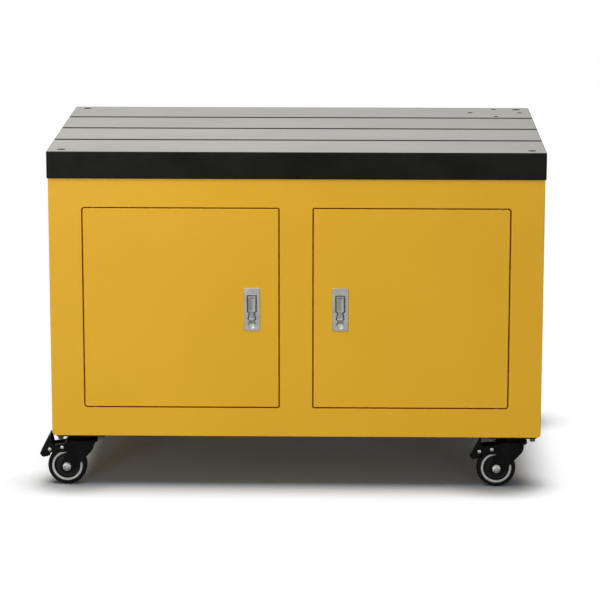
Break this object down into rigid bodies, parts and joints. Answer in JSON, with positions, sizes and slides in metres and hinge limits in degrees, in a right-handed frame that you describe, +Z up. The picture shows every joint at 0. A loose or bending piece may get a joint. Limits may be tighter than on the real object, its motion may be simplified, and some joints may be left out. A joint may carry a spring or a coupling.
{
  "type": "mobile t-slot table",
  "caption": "Work table with a slotted cast-iron plate on a steel cabinet with two doors, flush lever latches and braked swivel casters.",
  "frame": {"origin": "on the floor under the middle of the table, at the centre of the bounding box's base", "axes": "+X along the table's length to the right seen from the doors, +Y from the doors to the back, +Z up"},
  "size_m": [1.2638, 0.75, 0.84],
  "materials": {
    "cast_iron": "machined top, dark painted sides",
    "yellow_paint": "satin powder coat",
    "latch_metal": "satin die-cast zinc",
    "zinc_steel": "bright zinc plate",
    "dark_screws": "blackened steel",
    "black_steel": "black electrophoretic coat",
    "tyre_rubber": "matte moulded rubber",
    "wheel_core": "moulded plastic with a light ring",
    "rubber": "matte"
  },
  "bodies": {
    "cabinet": {"back_panel": "yellow_paint", "bottom_panel": "yellow_paint", "caster_bolts": "zinc_steel", "corner_posts": "yellow_paint", "door_buffers": "rubber", "door_stops": "yellow_paint", "front_frame": "yellow_paint", "front_left_plate": "black_steel", "front_right_plate": "black_steel", "hinge_pins": "zinc_steel", "kingpins": "zinc_steel", "plate_screws": "dark_screws", "rear_left_plate": "black_steel", "rear_right_plate": "black_steel", "shelf": "yellow_paint", "shelf_rails": "yellow_paint", "side_panel_left": "yellow_paint", "side_panel_right": "yellow_paint", "t_slot_plate": "cast_iron", "top_panel": "yellow_paint", "top_rails": "yellow_paint"},
    "left_door": {"left_door_skin": "yellow_paint", "left_door_stiffener": "yellow_paint", "left_latch_housing": "latch_metal", "left_lever_pin": "zinc_steel"},
    "left_lever": {"left_latch_lever": "latch_metal"},
    "left_tongue": {"left_latch_tongue": "zinc_steel"},
    "right_door": {"right_door_skin": "yellow_paint", "right_door_stiffener": "yellow_paint", "right_latch_housing": "latch_metal", "right_lever_pin": "zinc_steel"},
    "right_lever": {"right_latch_lever": "latch_metal"},
    "right_tongue": {"right_latch_tongue": "zinc_steel"},
    "front_left_fork": {"front_left_fork": "black_steel", "front_left_axle": "zinc_steel", "front_left_brake_pins": "zinc_steel"},
    "front_left_wheel": {"front_left_wheel_core": "wheel_core", "front_left_tyre": "tyre_rubber"},
    "front_left_pedal": {"front_left_brake_pedal": "black_steel"},
    "front_right_fork": {"front_right_fork": "black_steel", "front_right_axle": "zinc_steel", "front_right_brake_pins": "zinc_steel"},
    "front_right_wheel": {"front_right_wheel_core": "wheel_core", "front_right_tyre": "tyre_rubber"},
    "front_right_pedal": {"front_right_brake_pedal": "black_steel"},
    "rear_left_fork": {"rear_left_fork": "black_steel", "rear_left_axle": "zinc_steel", "rear_left_brake_pins": "zinc_steel"},
    "rear_left_wheel": {"rear_left_wheel_core": "wheel_core", "rear_left_tyre": "tyre_rubber"},
    "rear_left_pedal": {"rear_left_brake_pedal": "black_steel"},
    "rear_right_fork": {"rear_right_fork": "black_steel", "rear_right_axle": "zinc_steel", "rear_right_brake_pins": "zinc_steel"},
    "rear_right_wheel": {"rear_right_wheel_core": "wheel_core", "rear_right_tyre": "tyre_rubber"},
    "rear_right_pedal": {"rear_right_brake_pedal": "black_steel"}
  },
  "joints": [
    {"name": "left_door_hinge", "type": "hinge", "parent": "cabinet", "child": "left_door", "pos_m": [-0.4895, -0.364, 0.456], "axis": [0, 0, -1], "range_deg": [0, 110]},
    {"name": "left_lever_pull", "type": "hinge", "parent": "left_door", "child": "left_lever", "pos_m": [-0.107, -0.3679, 0.484], "axis": [-1, 0, 0], "range_deg": [0, 50]},
    {"name": "left_tongue_slide", "type": "slide", "parent": "left_door", "child": "left_tongue", "axis": [1, 0, 0], "range_m": [0, 0.009]},
    {"name": "right_door_hinge", "type": "hinge", "parent": "cabinet", "child": "right_door", "pos_m": [0.4895, -0.364, 0.456], "axis": [0, 0, 1], "range_deg": [0, 110]},
    {"name": "right_lever_pull", "type": "hinge", "parent": "right_door", "child": "right_lever", "pos_m": [0.107, -0.3679, 0.484], "axis": [-1, 0, 0], "range_deg": [0, 50]},
    {"name": "right_tongue_slide", "type": "slide", "parent": "right_door", "child": "right_tongue", "axis": [-1, 0, 0], "range_m": [0, 0.009]},
    {"name": "front_left_swivel", "type": "hinge", "parent": "cabinet", "child": "front_left_fork", "pos_m": [-0.529, -0.314, 0.1194], "axis": [0, 0, 1], "continuous": true},
    {"name": "front_left_roll", "type": "hinge", "parent": "front_left_fork", "child": "front_left_wheel", "pos_m": [-0.566, -0.314, 0.048], "axis": [0, 1, 0], "continuous": true},
    {"name": "front_left_brake", "type": "hinge", "parent": "front_left_fork", "child": "front_left_pedal", "pos_m": [-0.60801, -0.314, 0.09196], "axis": [0, -1, 0], "range_deg": [0, 10]},
    {"name": "front_right_swivel", "type": "hinge", "parent": "cabinet", "child": "front_right_fork", "pos_m": [0.529, -0.314, 0.1194], "axis": [0, 0, 1], "continuous": true},
    {"name": "front_right_roll", "type": "hinge", "parent": "front_right_fork", "child": "front_right_wheel", "pos_m": [0.492, -0.314, 0.048], "axis": [0, 1, 0], "continuous": true},
    {"name": "front_right_brake", "type": "hinge", "parent": "front_right_fork", "child": "front_right_pedal", "pos_m": [0.44999, -0.314, 0.09196], "axis": [0, -1, 0], "range_deg": [0, 10]},
    {"name": "rear_left_swivel", "type": "hinge", "parent": "cabinet", "child": "rear_left_fork", "pos_m": [-0.529, 0.314, 0.1194], "axis": [0, 0, 1], "continuous": true},
    {"name": "rear_left_roll", "type": "hinge", "parent": "rear_left_fork", "child": "rear_left_wheel", "pos_m": [-0.492, 0.314, 0.048], "axis": [0, 1, 0], "continuous": true},
    {"name": "rear_left_brake", "type": "hinge", "parent": "rear_left_fork", "child": "rear_left_pedal", "pos_m": [-0.44999, 0.314, 0.09196], "axis": [0, 1, 0], "range_deg": [0, 10]},
    {"name": "rear_right_swivel", "type": "hinge", "parent": "cabinet", "child": "rear_right_fork", "pos_m": [0.529, 0.314, 0.1194], "axis": [0, 0, 1], "continuous": true},
    {"name": "rear_right_roll", "type": "hinge", "parent": "rear_right_fork", "child": "rear_right_wheel", "pos_m": [0.566, 0.314, 0.048], "axis": [0, 1, 0], "continuous": true},
    {"name": "rear_right_brake", "type": "hinge", "parent": "rear_right_fork", "child": "rear_right_pedal", "pos_m": [0.60801, 0.314, 0.09196], "axis": [0, 1, 0], "range_deg": [0, 10]}
  ]
}
